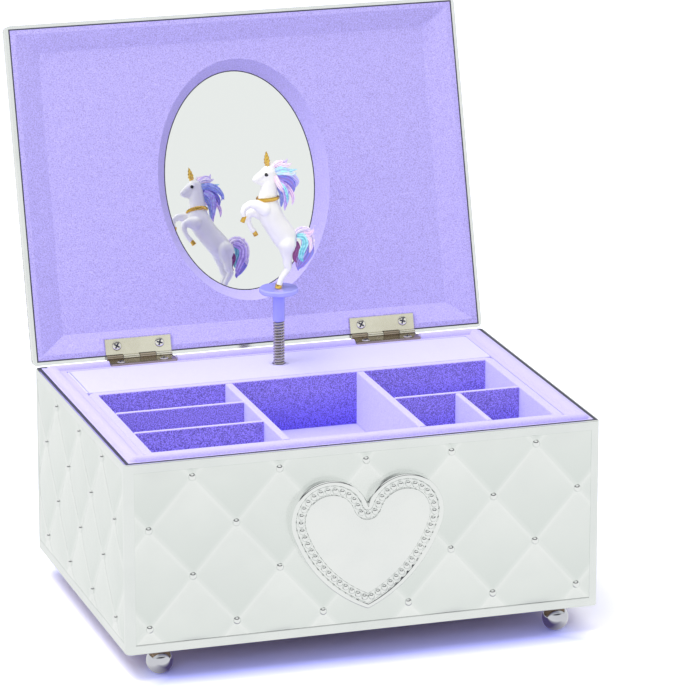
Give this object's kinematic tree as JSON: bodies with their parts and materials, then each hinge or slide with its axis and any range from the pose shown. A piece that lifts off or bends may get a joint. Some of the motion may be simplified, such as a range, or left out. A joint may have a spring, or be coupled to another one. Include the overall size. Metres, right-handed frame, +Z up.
{
  "type": "wind up music box",
  "caption": "Hinged metal keepsake box with quilted walls, lined tray and mirror lid, and a wind-up movement that turns a figure on a spring post.",
  "frame": {"origin": "centre of the case in plan, at the lower edge of its walls; the ball feet reach 9 mm below it", "axes": "+Z up, -Y to the front with the heart, +X to the right seen from the front; the rest pose has the lid open"},
  "size_m": [0.1624, 0.1604, 0.183],
  "materials": {
    "silver_plate": "polished silver plate with a faint haze",
    "wood_board": "raw fibreboard",
    "lavender_flock": "short flock",
    "periwinkle_plastic": "gloss",
    "painted_resin": "painted, glazed",
    "mirror_glass": "polished",
    "hinge_metal": "pale nickel",
    "movement_steel": "bright zinc",
    "movement_brass": "bright"
  },
  "bodies": {
    "case": {"case_shell": "silver_plate", "front_quilt": "silver_plate", "back_quilt": "silver_plate", "left_quilt": "silver_plate", "right_quilt": "silver_plate", "case_studs": "silver_plate", "heart_plate": "silver_plate", "heart_beads": "silver_plate", "base_board": "wood_board", "base_screws": "movement_steel", "foot_front_left": "silver_plate", "foot_front_right": "silver_plate", "foot_back_left": "silver_plate", "foot_back_right": "silver_plate", "lower_core": "wood_board", "shelf_board": "wood_board", "upper_core": "wood_board", "lining_frame": "lavender_flock", "deck_box": "lavender_flock", "deck_bush": "periwinkle_plastic", "tray_floor": "lavender_flock", "tray_wall_ring": "lavender_flock", "left_divider": "lavender_flock", "right_divider": "lavender_flock", "back_row_divider": "lavender_flock", "front_row_divider": "lavender_flock", "cross_divider": "lavender_flock", "small_divider": "lavender_flock", "bedplate": "movement_steel", "bedplate_screws": "movement_steel", "governor_bracket": "movement_steel", "comb": "movement_steel", "comb_screws": "movement_brass", "clutch_spring": "movement_steel", "left_hinge_case_leaf": "hinge_metal", "left_hinge_pin": "movement_steel", "right_hinge_case_leaf": "hinge_metal", "right_hinge_pin": "movement_steel", "case_hinge_screws": "movement_steel"},
    "lid": {"lid_shell": "silver_plate", "lid_quilt": "silver_plate", "lid_studs": "silver_plate", "lid_board": "wood_board", "lid_lining": "lavender_flock", "lid_mirror": "mirror_glass", "left_hinge_lid_leaf": "hinge_metal", "right_hinge_lid_leaf": "hinge_metal", "lid_hinge_screws": "movement_steel"},
    "post": {"coil_spring": "movement_steel"},
    "figure": {"figure_stand": "periwinkle_plastic", "unicorn": "painted_resin"},
    "barrel": {"spring_barrel": "movement_steel", "mainspring": "movement_steel", "drive_spindle": "movement_steel"},
    "cylinder": {"pinned_cylinder": "movement_brass"},
    "governor": {"governor_wheel": "movement_brass"},
    "fly": {"governor_fly": "movement_steel"},
    "key": {"winding_arbor": "movement_steel", "winding_key": "movement_brass"}
  },
  "joints": [
    {"name": "lid_hinge", "type": "hinge", "parent": "case", "child": "lid", "pos_m": [0, 0.057, 0.0645], "axis": [1, 0, 0], "range_deg": [0, 106.5]},
    {"name": "post_bend", "type": "hinge", "parent": "case", "child": "post", "pos_m": [0, 0.0355, 0.0685], "axis": [1, 0, 0], "range_deg": [0, 104], "deforming": ["coil_spring"]},
    {"name": "figure_spin", "type": "hinge", "parent": "post", "child": "figure", "pos_m": [0, 0.0375, 0.078], "axis": [0, 0, 1], "continuous": true},
    {"name": "barrel_spin", "type": "hinge", "parent": "case", "child": "barrel", "pos_m": [0, 0.0375, 0.012], "axis": [0, 0, 1], "continuous": true},
    {"name": "cylinder_spin", "type": "hinge", "parent": "case", "child": "cylinder", "pos_m": [-0.025, 0.0375, 0.01373], "axis": [1, 0, 0], "continuous": true},
    {"name": "governor_spin", "type": "hinge", "parent": "case", "child": "governor", "pos_m": [-0.04, 0.03097, 0.01678], "axis": [1, 0, 0], "continuous": true},
    {"name": "fly_spin", "type": "hinge", "parent": "case", "child": "fly", "pos_m": [-0.0419, 0.02538, 0.02], "axis": [0, 0, 1], "continuous": true},
    {"name": "key_wind", "type": "hinge", "parent": "case", "child": "key", "pos_m": [0, 0.0375, -0.003], "axis": [0, 0, 1], "continuous": true}
  ],
  "couplings": [
    {"joint": "post_bend", "follows": "lid_hinge", "ratio": 0.97653},
    {"joint": "figure_spin", "follows": "barrel_spin", "ratio": 1},
    {"joint": "cylinder_spin", "follows": "barrel_spin", "ratio": -3.1667},
    {"joint": "governor_spin", "follows": "barrel_spin", "ratio": 9.5},
    {"joint": "fly_spin", "follows": "barrel_spin", "ratio": 76}
  ]
}
